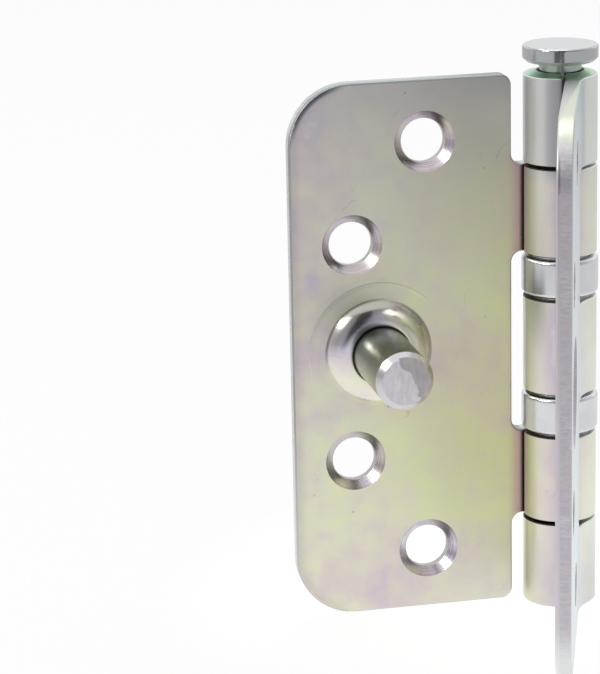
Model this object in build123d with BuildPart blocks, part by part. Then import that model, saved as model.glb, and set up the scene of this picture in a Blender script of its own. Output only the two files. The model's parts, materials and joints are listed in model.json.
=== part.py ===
from build123d import *
from math import cos, radians, sin, sqrt
import os

# A ball bearing butt hinge with a security pin, standing part open with its hinge pin lifted.
# The barrel's axis is Z and its lower end is at Z = 0. The pin leaf lies along -X with its
# inner face towards -Y, and the hole leaf is swung open from it, towards -Y.
# Sizes are in millimetres and degrees.

# Leaves
leaf_height = 89.0
leaf_reach = 44.5
leaf_thickness = 2.5
closed_gap = 2.0
corner_radius = 10.0
edge_rounding = 0.35
opening_angle = 71.0

# Barrel: knuckles one, three and five are the hole leaf's, two and four the pin leaf's
pin_diameter = 6.9
bore_clearance = 0.05
swage_radius = 10.0
seam_gap = 0.1
seam_mouth = 1.0
roll_end_rounding = 0.6
crown_height = 0.5
bore_mouth = 0.4
end_knuckle_length = 14.35
pin_knuckle_length = 14.45
knuckle_gap = 0.5
knuckle_chamfer = 0.15
notch_clearance = 1.85
notch_radius = 1.8

# Screw holes, two pairs in each leaf, measured from the barrel's axis and the leaf's middle
screw_hole_diameter = 7.2
countersink_diameter = 10.0
countersink_angle = 90.0
near_hole_reach = 22.25
near_hole_rise = 34.4
far_hole_reach = 34.4
far_hole_rise = 18.15

# Security pin, its pressed boss and the hole that takes it
security_reach = 30.2
security_diameter = 9.4
security_length = 17.9
security_chamfer = 0.9
crop_step = 0.2
crop_offset = 1.0
crop_angle = 211.0
boss_diameter = 17.6
boss_top_diameter = 10.4
boss_height = 1.9
boss_wall = 2.5
boss_recess_diameter = 15.0
boss_floor_diameter = 10.8
rivet_hole_diameter = 7.0
rivet_clearance = 0.05
rivet_head_diameter = 10.2
rivet_head_chamfer = 0.4
rivet_sink = 0.2
entry_hole_diameter = 17.5

# Hinge pin
head_diameter = 12.2
head_thickness = 2.65
head_rounding = 0.35
head_chamfer = 0.6
pin_end_recess = 2.5
pin_end_chamfer = 1.0
pin_lift = 2.0

# Thrust bearings, one on each side of the middle knuckle
shell_height = 6.3
shell_wall = 0.5
shell_overhang = 0.25
shell_rounding = 0.75
lip_width = 0.5
race_stand_off = 0.5
race_side_clearance = 0.1
race_lip_clearance = 0.15
race_end_play = 0.2
ball_diameter = 1.6
ball_count = 10
ball_clearance = 0.03
race_gap = 0.9
cage_thickness = 0.6
cage_side_clearance = 0.1
pocket_clearance = 0.05

# Two sizes that differ by less than this are the same
same_size = 0.001

# Sizes that follow
bore_radius = pin_diameter / 2 + bore_clearance
barrel_radius = bore_radius + leaf_thickness
inner_face = closed_gap / 2
back_face = inner_face + leaf_thickness
notch_reach = barrel_radius + notch_clearance
middle = leaf_height / 2
bearing_bay = shell_height + 2 * race_stand_off
knuckle_one_low = leaf_height - end_knuckle_length
knuckle_two_high = knuckle_one_low - knuckle_gap
knuckle_two_low = knuckle_two_high - pin_knuckle_length
knuckle_three_high = knuckle_two_low - bearing_bay
knuckle_three_low = leaf_height - knuckle_three_high
knuckle_four_high = leaf_height - knuckle_two_low
knuckle_four_low = leaf_height - knuckle_two_high
knuckle_five_high = end_knuckle_length
boss_floor = boss_height - boss_wall
shell_radius = barrel_radius + shell_overhang
shell_bore = shell_radius - shell_wall
lip_bore = shell_bore - lip_width
race_neck = lip_bore - race_lip_clearance
race_flange = shell_bore - race_side_clearance
ball_radius = ball_diameter / 2
ball_pitch = (bore_radius + race_flange) / 2
pocket_radius = ball_radius + pocket_clearance

# Each leaf has a plane across the barrel: X runs out along the leaf and Y to its back.
# The pin leaf is the same rolled sheet turned end for end.
swing = radians(opening_angle)
pin_leaf_across = Plane(origin=(0, 0, leaf_height), x_dir=(-1, 0, 0), z_dir=(0, 0, -1))
hole_leaf_across = Plane(origin=(0, 0, 0), x_dir=(-cos(swing), -sin(swing), 0), z_dir=(0, 0, 1))


def inner_face_plane(across):
    """Plane of a leaf's inner face: X out along the leaf, Y along the barrel, Z out of the face."""
    origin = across.from_local_coords(Vector(0, inner_face, 0))
    return Plane(origin=origin, x_dir=across.x_dir, z_dir=-across.y_dir)


pin_leaf_face = inner_face_plane(pin_leaf_across)
hole_leaf_face = inner_face_plane(hole_leaf_across)


def seam_wedge():
    """Gap between a leaf's inner face and the end of its roll, which widens towards the bore."""
    with BuildSketch() as wedge:
        with BuildLine():
            Polyline(
                (0, inner_face),
                (0, inner_face - seam_mouth),
                (bore_radius, inner_face - seam_mouth),
                (barrel_radius, inner_face - seam_gap),
                (barrel_radius, inner_face),
                close=True,
            )
        make_face()
    return wedge.sketch


def rolled_section():
    """Section of a leaf whose edge is swaged over and rolled round the pin, back to its inner face."""
    with BuildSketch() as section:
        with Locations((0, inner_face)):
            Rectangle(leaf_reach, leaf_thickness, align=(Align.MIN, Align.MIN))
        Circle(barrel_radius)
        swage_corner = (sqrt(barrel_radius**2 - back_face**2), back_face, 0)
        fillet(section.vertices().sort_by_distance(swage_corner)[0], swage_radius)
        Circle(bore_radius, mode=Mode.SUBTRACT)
        add(seam_wedge(), mode=Mode.SUBTRACT)
        roll_end = (barrel_radius, inner_face - seam_gap, 0)
        fillet(section.vertices().sort_by_distance(roll_end)[0], roll_end_rounding)
    return section.sketch


def leaf_outline(notches):
    """Outline of a leaf seen square on, with a notch for each of the other leaf's knuckles."""
    with BuildSketch() as outline:
        with Locations((-barrel_radius, 0)):
            Rectangle(barrel_radius + leaf_reach, leaf_height, align=(Align.MIN, Align.MIN))
        fillet(outline.vertices().group_by(Axis.X)[-1], corner_radius)
        for low, high in notches:
            with Locations((-barrel_radius, low)):
                Rectangle(
                    barrel_radius + notch_reach,
                    high - low,
                    align=(Align.MIN, Align.MIN),
                    mode=Mode.SUBTRACT,
                )
        notch_corners = outline.vertices().filter_by(lambda v: abs(v.X - notch_reach) < same_size)
        fillet(notch_corners, notch_radius)
    return outline.sketch


def rim_edges(leaf, face_plane):
    """Edges round a leaf's inner face, clear of the barrel."""
    on_face = face_plane.from_local_coords(Vector(leaf_reach / 2, middle, 0))
    inner = leaf.faces().sort_by_distance(on_face)[0]
    return inner.edges().filter_by(lambda e: face_plane.to_local_coords(e.center()).X > barrel_radius)


def knuckle_edges(leaf):
    """Outer edges of a leaf's knuckles at their ends."""
    round_edges = leaf.edges().filter_by(GeomType.CIRCLE)
    return round_edges.filter_by(lambda e: abs(e.radius - barrel_radius) < same_size)


screw_points = [
    (reach, middle + side * rise)
    for reach, rise in ((near_hole_reach, near_hole_rise), (far_hole_reach, far_hole_rise))
    for side in (1, -1)
]


def pressed_dome(rim_radius, rim_level, top_radius, top_level):
    """Half section of a pressed dome: a round shoulder from a flat top down to its rim."""
    with BuildSketch() as dome:
        with BuildLine():
            Line((0, top_level), (top_radius, top_level))
            TangentArc((top_radius, top_level), (rim_radius, rim_level), tangent=(1, 0))
            Polyline((rim_radius, rim_level), (0, rim_level), (0, top_level))
        make_face()
    return dome.sketch


# The security pin's axis: X out along the pin leaf, Y out of its inner face
security_plane = Plane(
    origin=pin_leaf_face.from_local_coords(Vector(security_reach, middle, 0)),
    x_dir=pin_leaf_face.x_dir,
    z_dir=-pin_leaf_face.y_dir,
)
security_axis = Axis(security_plane.origin, security_plane.y_dir)
security_end = Plane(
    origin=security_plane.from_local_coords(Vector(0, security_length, 0)),
    x_dir=security_plane.x_dir,
    z_dir=security_plane.y_dir,
)

# Pin leaf
with BuildPart() as pin_leaf:
    with BuildSketch(pin_leaf_across):
        add(rolled_section())
    extrude(amount=leaf_height)
    with BuildSketch(pin_leaf_face):
        add(
            leaf_outline(
                [
                    (0, knuckle_four_low),
                    (knuckle_four_high, knuckle_two_low),
                    (knuckle_two_high, leaf_height),
                ]
            )
        )
    extrude(amount=leaf_reach, both=True, mode=Mode.INTERSECT)
    fillet(rim_edges(pin_leaf, pin_leaf_face), edge_rounding)
    chamfer(knuckle_edges(pin_leaf), knuckle_chamfer)
    with BuildSketch(security_plane):
        add(pressed_dome(boss_diameter / 2, 0, boss_top_diameter / 2, boss_height))
    revolve(axis=security_axis)
    with BuildSketch(security_plane):
        add(pressed_dome(boss_recess_diameter / 2, -leaf_thickness, boss_floor_diameter / 2, boss_floor))
    revolve(axis=security_axis, mode=Mode.SUBTRACT)
    with Locations(pin_leaf_face):
        with Locations(*screw_points):
            CounterSinkHole(
                screw_hole_diameter / 2,
                countersink_diameter / 2,
                counter_sink_angle=countersink_angle,
            )
    with Locations(pin_leaf_face.offset(boss_height)):
        with Locations((security_reach, middle)):
            Hole(rivet_hole_diameter / 2)
pin_leaf.part.label = "pin_leaf"

# Hole leaf: the upper end of its first knuckle is crowned, and its bore opens at the top
with BuildPart() as hole_leaf:
    with BuildSketch(hole_leaf_across):
        add(rolled_section())
    extrude(amount=leaf_height)
    with BuildSketch(hole_leaf_face):
        add(
            leaf_outline(
                [
                    (knuckle_five_high, knuckle_three_low),
                    (knuckle_three_high, knuckle_one_low),
                ]
            )
        )
    extrude(amount=leaf_reach, both=True, mode=Mode.INTERSECT)
    fillet(rim_edges(hole_leaf, hole_leaf_face), edge_rounding)
    chamfer(knuckle_edges(hole_leaf), knuckle_chamfer)
    with BuildSketch(Plane.XZ):
        with BuildLine():
            Polyline(
                (bore_radius, leaf_height),
                (barrel_radius - knuckle_chamfer, leaf_height),
                (bore_radius + bore_mouth, leaf_height + crown_height),
                close=True,
            )
        make_face()
    revolve(axis=Axis.Z)
    with BuildSketch(hole_leaf_across.offset(leaf_height)):
        add(seam_wedge())
    extrude(amount=crown_height, mode=Mode.SUBTRACT)
    with Locations(hole_leaf_face):
        with Locations(*screw_points):
            CounterSinkHole(
                screw_hole_diameter / 2,
                countersink_diameter / 2,
                counter_sink_angle=countersink_angle,
            )
        with Locations((security_reach, middle)):
            Hole(entry_hole_diameter / 2)
hole_leaf.part.label = "hole_leaf"

# Security pin: its shank stands on the boss, its riveted tail fills the dish behind it,
# and its end has the step that cropping from the bar leaves
with BuildPart() as security_pin:
    with BuildSketch(security_plane):
        with BuildLine():
            Polyline(
                (0, rivet_sink - leaf_thickness),
                (rivet_head_diameter / 2 - rivet_head_chamfer, rivet_sink - leaf_thickness),
                (rivet_head_diameter / 2, rivet_sink - leaf_thickness + rivet_head_chamfer),
                (rivet_head_diameter / 2, boss_floor),
                (rivet_hole_diameter / 2 - rivet_clearance, boss_floor),
                (rivet_hole_diameter / 2 - rivet_clearance, boss_height),
                (security_diameter / 2, boss_height),
                (security_diameter / 2, security_length - security_chamfer),
                (security_diameter / 2 - security_chamfer, security_length),
                (0, security_length),
                close=True,
            )
        make_face()
    revolve(axis=security_axis)
    with BuildSketch(security_end):
        with Locations(Location((0, 0, 0), (0, 0, crop_angle))):
            with Locations((crop_offset, 0)):
                Rectangle(security_diameter, security_diameter, align=(Align.MIN, Align.CENTER))
    extrude(amount=-crop_step, mode=Mode.SUBTRACT)
security_pin.part.label = "security_pin"

# Hinge pin, loose in the knuckles
with BuildPart() as hinge_pin:
    with BuildSketch(Plane.XY.offset(leaf_height + pin_lift)):
        Circle(head_diameter / 2)
    extrude(amount=head_thickness)
    fillet(hinge_pin.edges().group_by(Axis.Z)[-1], head_rounding)
    chamfer(hinge_pin.edges().group_by(Axis.Z)[0], head_chamfer)
    with BuildSketch(Plane.XY.offset(pin_end_recess + pin_lift)):
        Circle(pin_diameter / 2)
    extrude(amount=leaf_height - pin_end_recess)
    chamfer(hinge_pin.edges().group_by(Axis.Z)[0], pin_end_chamfer)
hinge_pin.part.label = "hinge_pin"

pieces = [pin_leaf, hole_leaf, security_pin, hinge_pin]

# Each bearing stands on the knuckle below it. Its shell is crimped over the flanges of both races.
for place, bay_floor in (("upper", knuckle_three_high), ("lower", knuckle_four_high)):
    bay_roof = bay_floor + bearing_bay
    shell_low = bay_floor + race_stand_off
    shell_high = bay_roof - race_stand_off
    bottom_seat = shell_low + shell_wall
    top_seat = shell_high - shell_wall - race_end_play
    ball_level = (bottom_seat + top_seat) / 2

    with BuildPart() as shell:
        with BuildSketch(Plane.XY.offset(shell_low)):
            Circle(shell_radius)
        extrude(amount=shell_height)
        fillet(shell.edges().filter_by(GeomType.CIRCLE), shell_rounding)
        with BuildSketch(Plane.XY.offset(bottom_seat)):
            Circle(shell_bore)
        extrude(amount=shell_height - 2 * shell_wall, mode=Mode.SUBTRACT)
        with BuildSketch(Plane.XY.offset(shell_low)):
            Circle(lip_bore)
        extrude(amount=shell_height, mode=Mode.SUBTRACT)
    shell.part.label = f"{place}_bearing_shell"
    pieces.append(shell)

    for end, outer_face, seat, face in (
        ("bottom", bay_floor, bottom_seat, ball_level - race_gap / 2),
        ("top", bay_roof, top_seat, ball_level + race_gap / 2),
    ):
        with BuildPart() as race:
            with BuildSketch(Plane.XZ):
                with BuildLine():
                    Polyline(
                        (bore_radius, outer_face),
                        (race_neck, outer_face),
                        (race_neck, seat),
                        (race_flange, seat),
                        (race_flange, face),
                        (bore_radius, face),
                        close=True,
                    )
                make_face()
                with Locations((ball_pitch, ball_level)):
                    Circle(ball_radius + ball_clearance, mode=Mode.SUBTRACT)
            revolve(axis=Axis.Z)
        race.part.label = f"{place}_bearing_{end}_race"
        pieces.append(race)

    with BuildPart() as cage:
        with BuildSketch(Plane.XY.offset(ball_level - cage_thickness / 2)):
            Circle(shell_bore - cage_side_clearance)
            Circle(bore_radius + cage_side_clearance, mode=Mode.SUBTRACT)
            with PolarLocations(ball_pitch, ball_count):
                Circle(pocket_radius, mode=Mode.SUBTRACT)
        extrude(amount=cage_thickness)
    cage.part.label = f"{place}_ball_cage"
    pieces.append(cage)

    for number, pocket in enumerate(PolarLocations(ball_pitch, ball_count), start=1):
        with BuildPart() as ball:
            with Locations(Location((pocket.position.X, pocket.position.Y, ball_level))):
                Sphere(ball_radius)
        ball.part.label = f"{place}_ball_{number:02d}"
        pieces.append(ball)

os.makedirs("parts", exist_ok=True)
for piece in pieces:
    export_step(piece.part, f"parts/{piece.part.label}.step")
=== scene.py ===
"""Looks of a ball bearing butt hinge: zinc plated leaves, turned pins and pressed bearing rings."""

import json
from math import atan2, cos, pi, radians, sin

import bpy
import numpy as np
from bpy.props import FloatProperty, FloatVectorProperty, IntProperty, PointerProperty
from bpy.types import Operator, Panel, PropertyGroup
from mathutils import Matrix, Vector


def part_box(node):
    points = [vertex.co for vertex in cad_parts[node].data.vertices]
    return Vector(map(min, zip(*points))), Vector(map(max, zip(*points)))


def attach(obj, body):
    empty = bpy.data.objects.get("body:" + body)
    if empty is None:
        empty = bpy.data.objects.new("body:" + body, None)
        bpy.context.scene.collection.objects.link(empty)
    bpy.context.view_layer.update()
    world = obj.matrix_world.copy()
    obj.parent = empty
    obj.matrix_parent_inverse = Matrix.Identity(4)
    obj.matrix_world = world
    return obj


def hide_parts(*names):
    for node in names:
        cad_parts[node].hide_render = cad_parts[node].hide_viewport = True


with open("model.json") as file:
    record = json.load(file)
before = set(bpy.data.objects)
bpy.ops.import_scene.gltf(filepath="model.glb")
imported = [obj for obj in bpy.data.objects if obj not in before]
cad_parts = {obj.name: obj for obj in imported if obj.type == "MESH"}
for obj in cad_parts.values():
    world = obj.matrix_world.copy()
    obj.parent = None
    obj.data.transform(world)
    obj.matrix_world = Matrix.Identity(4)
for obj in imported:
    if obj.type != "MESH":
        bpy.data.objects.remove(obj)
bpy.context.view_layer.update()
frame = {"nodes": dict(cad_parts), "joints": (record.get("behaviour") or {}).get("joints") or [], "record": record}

bl_info = {
    "name": "Ball bearing hinge finish",
    "version": (1, 0, 0),
    "blender": (4, 5, 0),
    "location": "3D View > Sidebar > Hinge",
    "description": "Plating, cut edges and bearing details of a ball bearing butt hinge",
    "category": "Object",
}

# Sizes in metres, read from the frame where it holds them
MM = 0.001
WELD = 1e-4 * MM
SLACK = 0.05 * MM
RECORD = frame["record"]
MOUNTS = {mount["name"]: mount for mount in RECORD["mounts"]}
JOINTS = {joint["name"]: joint for joint in frame["joints"]}
OPENING = -radians(JOINTS["leaf_swing"]["range_deg"][0])
LEAF_LOW, LEAF_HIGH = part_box("pin_leaf")
LEAF_HEIGHT = LEAF_HIGH.z
LEAF_REACH = -LEAF_LOW.x
CORNER_RADIUS = 10 * MM
BARREL_RADIUS = LEAF_HIGH.y
SHEET = 2.5 * MM
BACK_DEPTH = MOUNTS["pin_leaf_back"]["pos_m"][1]
FACE_DEPTH = BACK_DEPTH - SHEET
HOLE_RADIUS = MOUNTS["pin_leaf_near_holes"]["dims"]["hole_r_mm"] * MM
COUNTERSINK_RADIUS = HOLE_RADIUS + 1.45 * MM
HEAD_HEIGHT = 2.65 * MM
HEAD_CHAMFER = 0.6 * MM
PIN_LOW, PIN_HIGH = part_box("security_pin")
TIP_FACE = 0.35 * MM
TIP_CHAMFER = 1.1 * MM
BOSS_RADIUS = 8.8 * MM
BOSS_REACH = -(PIN_LOW.x + PIN_HIGH.x) / 2
BOSS_HEIGHT = (PIN_LOW.z + PIN_HIGH.z) / 2
PRESS_RING_RADIUS = 1.29 * BOSS_RADIUS
BALL_LOW, BALL_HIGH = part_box("upper_ball_01")

# A face is an edge where its normal has less than this share along the leaf's depth, and the end of a
# knuckle where it has more than this share along the barrel
SHEET_EDGE_FACING = 0.93
BOSS_EDGE_FACING = 0.35
KNUCKLE_END_FACING = 0.5

# Colours of painted shade and light, marks and cut faces
SHADE_VIOLET = (0.05, 0.03, 0.08, 1)
SHADE_BLUE = (0.03, 0.025, 0.12, 1)
SHADE_BLACK = (0, 0, 0, 1)
MARK_AND_CREASE_SHADE = (0.16, 0.15, 0.14, 1)
SPECK_GREY = (0.15, 0.15, 0.15, 1)
KNUCKLE_GREY = (0.65, 0.68, 0.71, 1)
SIDE_GLEAM = (1, 1, 0.94, 1)
BOSS_LILAC = (0.81, 0.81, 1.0, 1)
JOINT_SHADE_BROWN = (0.1, 0.085, 0.07, 1)
WORN_PALE = (0.95, 0.97, 0.92, 1)
PIN_EDGE_TOP_SHADE = (0.35, 0.39, 0.40, 1)
HOLE_EDGE_TOP = (0.64, 0.70, 0.56, 1)
HOLE_EDGE_TORN = (0.62, 0.60, 0.66, 1)
TURNED_DARK = (0.54, 0.54, 0.56, 1)
TURNED_LIGHT = (0.80, 0.79, 0.81, 1)
HOLE_WALL = (0.66, 0.65, 0.62, 1)
CHAMFER_GREY = (0.52, 0.49, 0.52, 1)
SHANK_GREEN = (0.36, 0.44, 0.41, 1)
OLIVE_SIDE_LIGHT = (0.34, 0.385, 0.26, 1)
CROPPED_LIGHT = (0.77, 0.77, 0.80, 1)
CROPPED_DARK = (0.42, 0.40, 0.41, 1)
RACE_STEEL = (0.52, 0.52, 0.53, 1)
CAGE_BRASS = (0.62, 0.46, 0.2, 1)
BALL_STEEL = (0.76, 0.76, 0.78, 1)
PAPER_WHITE = (0.85, 0.85, 0.85, 1)

# Material slots of a leaf, of the hinge pin and of the security pin
LEAF_EDGE, LEAF_COUNTERSINK, LEAF_JOINT_SHADE = 1, 2, 3
HEAD_UNDERSIDE, SHANK = 1, 2
TIP_SLOPE, TIP_END = 1, 2


def leaf_axes(turn):
    """Reach and depth directions of a leaf that is turned from the pin leaf about the barrel."""
    reach = Vector((-cos(turn), -sin(turn), 0))
    return reach, Vector((-reach.y, reach.x, 0))


BARREL_FRONT = Vector((-0.2, -0.98, 0))
BARREL_FAR = Vector((0.98, -0.2, 0))
PIN_LEAF_AXES = (Vector((-1, 0, 0)), Vector((0, 1, 0)))
HOLE_LEAF_AXES = leaf_axes(OPENING)


def hole_centres():
    """Reach and height of the four screw holes, which both leaves share."""
    centres = []
    for name in ("pin_leaf_near_holes", "pin_leaf_far_holes"):
        mount = MOUNTS[name]
        half_pitch = mount["dims"]["spacing_y_mm"] * MM / 2
        for side in (-1, 1):
            centres.append((-mount["pos_m"][0], mount["pos_m"][2] + side * half_pitch))
    return centres


def colour_setting(name, description, *rgb):
    """A colour that a user may change."""
    return FloatVectorProperty(
        name=name, description=description, subtype="COLOR", size=4, min=0, max=1, default=(*rgb, 1),
    )


class HingeFinish(PropertyGroup):
    """Colours and textures of the plating."""

    zinc: colour_setting("Zinc", "Plain zinc under the passivation", 0.77, 0.765, 0.735)
    film_green: colour_setting("Film green", "Thinnest passivation film", 0.845, 0.88, 0.56)
    film_straw: colour_setting("Film straw", "Thin passivation film", 0.85, 0.83, 0.66)
    film_pink: colour_setting("Film pink", "Medium passivation film", 0.82, 0.74, 0.71)
    film_lilac: colour_setting("Film lilac", "Thick passivation film", 0.73, 0.64, 0.77)
    film_white: colour_setting("Film white", "Thickest passivation film", 1, 1, 1)
    # Painted blue-grey shade along the sheet's upper band
    upper_band_shade_blue: colour_setting("Film blue", "Film along the sheet's upper edge", 0.68, 0.76, 0.80)
    pale_blue: colour_setting("Pale blue", "Film on the barrel's far side", 0.86, 0.91, 0.86)
    back_blue: colour_setting("Back blue", "Film on the back of the sheet", 0.82, 0.91, 0.96)
    end_green: colour_setting("End green", "Film on the barrel's upper end", 0.56, 0.72, 0.53)
    end_teal: colour_setting("End teal", "Thicker film on the barrel's upper end", 0.60, 0.77, 0.72)
    # Brownish colour on the face beside the roll
    seam_brown: colour_setting("Seam stain", "Brownish film where the sheet is rolled", 0.78, 0.56, 0.60)
    # Painted shade in the roll's seam, the bore's mouth, the knuckle joints and round the security pin's foot
    groove_shade: colour_setting("Groove dark", "Depth of the seams and joints", 0.04, 0.035, 0.03)
    bright_zinc: colour_setting("Bright zinc", "Plating of the bearing rings", 0.69, 0.72, 0.73)
    pin_zinc: colour_setting("Pin zinc", "Plating of the hinge pin", 0.445, 0.50, 0.51)
    pin_olive: colour_setting("Pin olive", "Dark finish of the security pin", 0.075, 0.092, 0.113)
    cut_steel: colour_setting("Cut steel", "Turned and sheared steel", 0.66, 0.64, 0.67)
    edge_grey: colour_setting("Edge grey", "Rounded edges of the pin leaf", 0.29, 0.325, 0.33)
    patch_size: FloatProperty(
        name="Patch size", description="Size of the clouds in the film", unit="LENGTH",
        default=16 * MM, min=MM,
    )
    leaf_roughness: FloatProperty(
        name="Leaf roughness", description="Gloss of the rolled sheet", subtype="FACTOR",
        default=0.36, min=0, max=1,
    )


class HingeBearing(PropertyGroup):
    """Sizes of the ball sets."""

    ball_count: IntProperty(
        name="Balls", description="Balls in each bearing", min=3,
        default=sum(name.startswith(("upper_ball_0", "upper_ball_1")) for name in frame["nodes"]),
    )
    ball_radius: FloatProperty(
        name="Ball radius", description="Radius of a ball", unit="LENGTH",
        default=(BALL_HIGH.z - BALL_LOW.z) / 2,
    )
    pitch_radius: FloatProperty(
        name="Pitch radius", description="Radius of the ring of balls", unit="LENGTH",
        default=(BALL_HIGH.x + BALL_LOW.x) / 2,
    )


class HingeStage(PropertyGroup):
    """Camera and light of the picture."""

    azimuth: FloatProperty(
        name="Azimuth", description="Camera's turn about the barrel", subtype="ANGLE",
        default=radians(-11.708),
    )
    elevation: FloatProperty(
        name="Elevation", description="Camera's height angle", subtype="ANGLE", default=radians(15.49),
    )
    roll: FloatProperty(
        name="Roll", description="Camera's turn about its own axis", subtype="ANGLE",
        default=radians(-1.263),
    )
    distance: FloatProperty(
        name="Distance", description="Camera to aim point", unit="LENGTH", default=475.826 * MM,
    )
    aim: FloatVectorProperty(
        name="Aim", description="Point that the camera looks at", subtype="XYZ", unit="LENGTH",
        default=(-43.514 * MM, 0, 48.39 * MM),
    )
    lens: FloatProperty(
        name="Lens", description="Focal length in millimetres on a 36 mm sensor", unit="CAMERA",
        default=157.87,
    )
    key_watts: FloatProperty(
        name="Key light", description="Softbox at the left front", default=3.0, min=0,
    )
    top_watts: FloatProperty(
        name="Top light", description="Softbox above and behind", default=1.6, min=0,
    )


def feed(tree, socket, value):
    """Links an output to a socket, or sets the socket to a plain value."""
    if isinstance(value, bpy.types.NodeSocket):
        tree.links.new(value, socket)
    else:
        socket.default_value = value


def add_node(tree, kind, inputs=None, **settings):
    """A node with its settings made and its inputs linked or set."""
    made = tree.nodes.new(kind)
    for name, value in settings.items():
        setattr(made, name, value)
    for name, value in (inputs or {}).items():
        feed(tree, made.inputs[name], value)
    return made


def arithmetic(tree, operation, first, second=0.0, third=0.0, clamp=False):
    """The output of a Math node."""
    values = {0: first, 1: second, 2: third}
    return add_node(tree, "ShaderNodeMath", values, operation=operation, use_clamp=clamp).outputs[0]


def add_share(tree, mask, amount, base, clamp=False):
    """A base value with a share of a mask added to it."""
    return arithmetic(tree, "MULTIPLY_ADD", mask, amount, base, clamp)


def share_of(tree, *factors):
    """The product of several masks."""
    result = factors[0]
    for factor in factors[1:]:
        result = arithmetic(tree, "MULTIPLY", result, factor)
    return result


def without(tree, mask):
    """One minus a mask."""
    return arithmetic(tree, "SUBTRACT", 1.0, mask)


def gap(tree, first, second):
    """How far two values are apart."""
    return arithmetic(tree, "ABSOLUTE", arithmetic(tree, "SUBTRACT", first, second))


def beyond(tree, value, limit):
    """How far a value is past a limit, and 0 before it."""
    return arithmetic(tree, "MAXIMUM", arithmetic(tree, "SUBTRACT", value, limit), 0.0)


def cosine_from(tree, turn, middle):
    """Cosine of the angle from a middle direction."""
    return arithmetic(tree, "COSINE", arithmetic(tree, "SUBTRACT", turn, middle))


def ramp_between(tree, value, low, high):
    """A smooth step from 0 at low to 1 at high."""
    inputs = {"Value": value, "From Min": low, "From Max": high}
    made = add_node(tree, "ShaderNodeMapRange", inputs, interpolation_type="SMOOTHSTEP", clamp=True)
    return made.outputs["Result"]


def blend(tree, factor, first, second, blend_type="MIX"):
    """The colour output of a Mix node."""
    inputs = {0: factor, 6: first, 7: second}
    return add_node(tree, "ShaderNodeMix", inputs, data_type="RGBA", blend_type=blend_type).outputs[2]


def vector_math(tree, operation, first, second=(0, 0, 0)):
    """The output of a Vector Math node, which is a value for a length, a distance or a dot product."""
    made = add_node(tree, "ShaderNodeVectorMath", {0: first, 1: second}, operation=operation)
    gives_value = operation in ("LENGTH", "DISTANCE", "DOT_PRODUCT")
    return made.outputs["Value" if gives_value else "Vector"]


def vector_of(tree, **parts):
    """A vector put together from its parts."""
    return add_node(tree, "ShaderNodeCombineXYZ", parts).outputs[0]


def parts_of(tree, vector):
    """The X, Y and Z of a vector."""
    return add_node(tree, "ShaderNodeSeparateXYZ", {"Vector": vector}).outputs


def object_place(tree):
    """A piece's own coordinates."""
    return add_node(tree, "ShaderNodeTexCoord").outputs["Object"]


def stretched_place(tree, place, scale, rotation=(0, 0, 0)):
    """Coordinates that are turned and scaled."""
    inputs = {"Vector": place, "Rotation": rotation, "Scale": scale}
    return add_node(tree, "ShaderNodeMapping", inputs).outputs["Vector"]


def leaf_place(tree):
    """The place on a leaf as a vector, and its reach, depth and height."""
    place = add_node(tree, "ShaderNodeAttribute", attribute_name="leaf_place").outputs["Vector"]
    parts = parts_of(tree, place)
    return place, parts["X"], parts["Y"], parts["Z"]


def from_boss(tree, reach, height):
    """Distance along the sheet from the middle of the boss."""
    return vector_math(tree, "DISTANCE", vector_of(tree, X=reach, Z=height), (BOSS_REACH, 0, BOSS_HEIGHT))


def noise(tree, place, scale, detail=2.0, roughness=0.5, distortion=0.0):
    """Value of a noise texture. Its scale is the number of clouds in a metre."""
    inputs = {
        "Vector": place, "Scale": scale, "Detail": detail, "Roughness": roughness, "Distortion": distortion,
    }
    return add_node(tree, "ShaderNodeTexNoise", inputs).outputs["Fac"]


def tool_rings(tree, along, spacing):
    """Value of the fine uneven rings that a cutting tool leaves along a direction."""
    inputs = {"W": along, "Scale": 1 / spacing, "Detail": 2.0}
    return add_node(tree, "ShaderNodeTexNoise", inputs, noise_dimensions="1D").outputs["Fac"]


def new_group(name, inputs, outputs):
    """A shader node group with named sockets: its tree, what it is given and what it puts out."""
    tree = bpy.data.node_groups.new(name, "ShaderNodeTree")
    for label, kind, default in inputs:
        socket = tree.interface.new_socket(label, in_out="INPUT", socket_type=kind)
        if default is not None:
            socket.default_value = default
    for label, kind in outputs:
        tree.interface.new_socket(label, in_out="OUTPUT", socket_type=kind)
    return tree, tree.nodes.new("NodeGroupInput").outputs, tree.nodes.new("NodeGroupOutput").inputs


def passivation_film(finish):
    """Colour of the passivation: green, straw, pink, lilac and white as its film thickens."""
    tree, given, result = new_group(
        "Passivation Film",
        (
            ("Place", "NodeSocketVector", None),
            ("Thickness", "NodeSocketFloat", 0.3),
            ("Clouds", "NodeSocketFloat", 0.25),
            ("Tint", "NodeSocketFloat", 1.0),
        ),
        (("Color", "NodeSocketColor"), ("Cloud", "NodeSocketFloat")),
    )
    scale = 1 / finish.patch_size
    broad = noise(tree, given["Place"], scale, 1.5, 0.45, 0.6)
    fine = noise(tree, given["Place"], 4.5 * scale, 3.0, 0.55)
    broad_part = arithmetic(tree, "SUBTRACT", broad, 0.5)
    fine_part = arithmetic(tree, "SUBTRACT", fine, 0.5)
    cloud = add_share(tree, fine_part, 0.9, broad_part)
    film = add_share(tree, cloud, given["Clouds"], given["Thickness"], clamp=True)
    ramp = add_node(tree, "ShaderNodeValToRGB", {"Fac": film})
    stops = (finish.film_green, finish.film_straw, finish.film_pink, finish.film_lilac, finish.film_white)
    last = len(stops) - 1
    elements = ramp.color_ramp.elements
    elements[0].color = stops[0]
    elements[1].color = stops[last]
    for number in range(1, last):
        elements.new(number / last).color = stops[number]
    colour = blend(tree, given["Tint"], finish.zinc, ramp.outputs["Color"])
    feed(tree, result["Color"], colour)
    feed(tree, result["Cloud"], cloud)


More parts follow.
